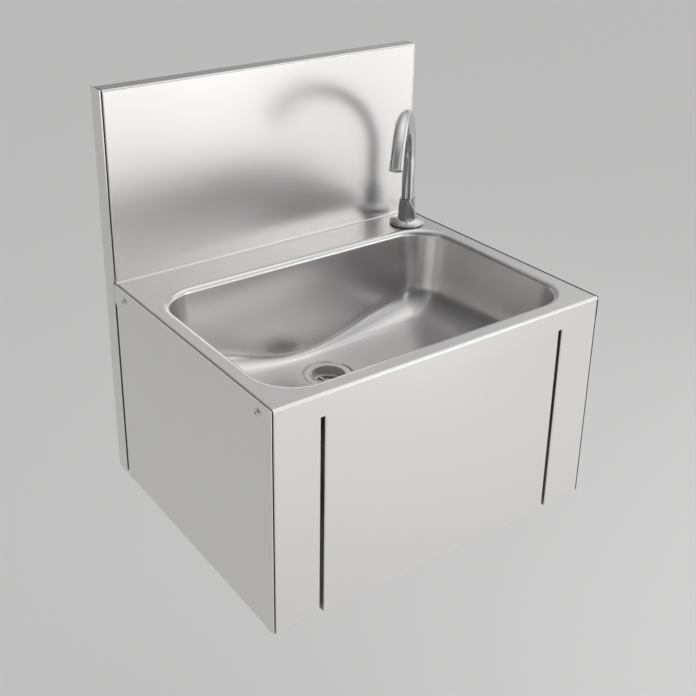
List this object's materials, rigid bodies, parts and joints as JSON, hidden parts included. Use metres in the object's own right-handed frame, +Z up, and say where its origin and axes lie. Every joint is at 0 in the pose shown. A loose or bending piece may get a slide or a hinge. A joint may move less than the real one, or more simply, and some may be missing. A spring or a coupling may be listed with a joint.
{
  "type": "wall-hung hand wash sink",
  "caption": "Wall-hung stainless steel hand wash sink with a splashback, a pressed bowl, a swan-neck spout and a front panel pushed by the knee to run the water.",
  "frame": {"origin": "centre of the four wall fixing holes, on the wall plane, level with the top of the deck", "axes": "+X along the wall to the right of someone facing the sink, +Y into the wall, +Z up"},
  "size_m": [0.5056, 0.413, 0.5575],
  "materials": {
    "brushed_steel": "fine satin grain",
    "plain_steel": "plain, zinc plated",
    "hose_braid": "woven stainless braid",
    "screw_steel": "polished",
    "chrome": "polished",
    "waste_steel": "polished",
    "brass": "turned",
    "rubber": "matt",
    "white_plastic": "moulded"
  },
  "bodies": {
    "casing": {"sink_sheet": "brushed_steel", "bowl": "brushed_steel", "left_side_panel": "brushed_steel", "right_side_panel": "brushed_steel", "wall_frame": "brushed_steel", "panel_screws": "screw_steel", "panel_rivet_nuts": "plain_steel", "frame_screws": "plain_steel", "valve_bar": "plain_steel", "bar_studs": "plain_steel", "bar_nuts": "plain_steel", "valve_body": "brass", "valve_end_cap": "brass", "valve_spring": "plain_steel", "valve_lock_nut": "brass", "supply_nipple": "brass", "tap_hose": "hose_braid", "hose_union_nuts": "brass", "tap_gasket": "rubber", "tap_flange": "chrome", "tap_hex_body": "chrome", "tap_shank": "brass", "tap_washer": "plain_steel", "tap_lock_nut": "brass", "waste_flange": "waste_steel", "waste_screw": "waste_steel", "waste_seal": "rubber", "waste_body": "white_plastic", "trap_inlet_nut": "white_plastic", "trap_inlet_pipe": "white_plastic", "trap_body": "white_plastic", "trap_cup": "white_plastic", "trap_seals": "rubber", "trap_outlet_nut": "white_plastic", "outlet_pipe": "white_plastic"},
    "knee_flap": {"knee_panel": "brushed_steel", "knee_buffer": "rubber"},
    "plunger": {"valve_plunger": "white_plastic"},
    "spout": {"spout_tube": "chrome", "spout_seals": "rubber", "aerator_housing": "chrome", "aerator_insert": "white_plastic"}
  },
  "joints": [
    {"name": "knee_push", "type": "hinge", "parent": "casing", "child": "knee_flap", "pos_m": [0, -0.4124, -0.029], "axis": [1, 0, 0], "range_deg": [0, 3], "stiffness_Nm_per_rad": 60, "springref_deg": -1.15},
    {"name": "plunger_push", "type": "slide", "parent": "casing", "child": "plunger", "axis": [0, 1, 0], "range_m": [0, 0.008], "stiffness_N_per_m": 500, "springref_m": -0.01, "deforming": ["valve_spring"]},
    {"name": "spout_swivel", "type": "hinge", "parent": "casing", "child": "spout", "pos_m": [0.21, -0.0715, 0.02], "axis": [0, 0, 1], "range_deg": [-50, 140]}
  ],
  "couplings": [
    {"joint": "plunger_push", "follows": "knee_push", "m_per_rad": 0.15}
  ]
}
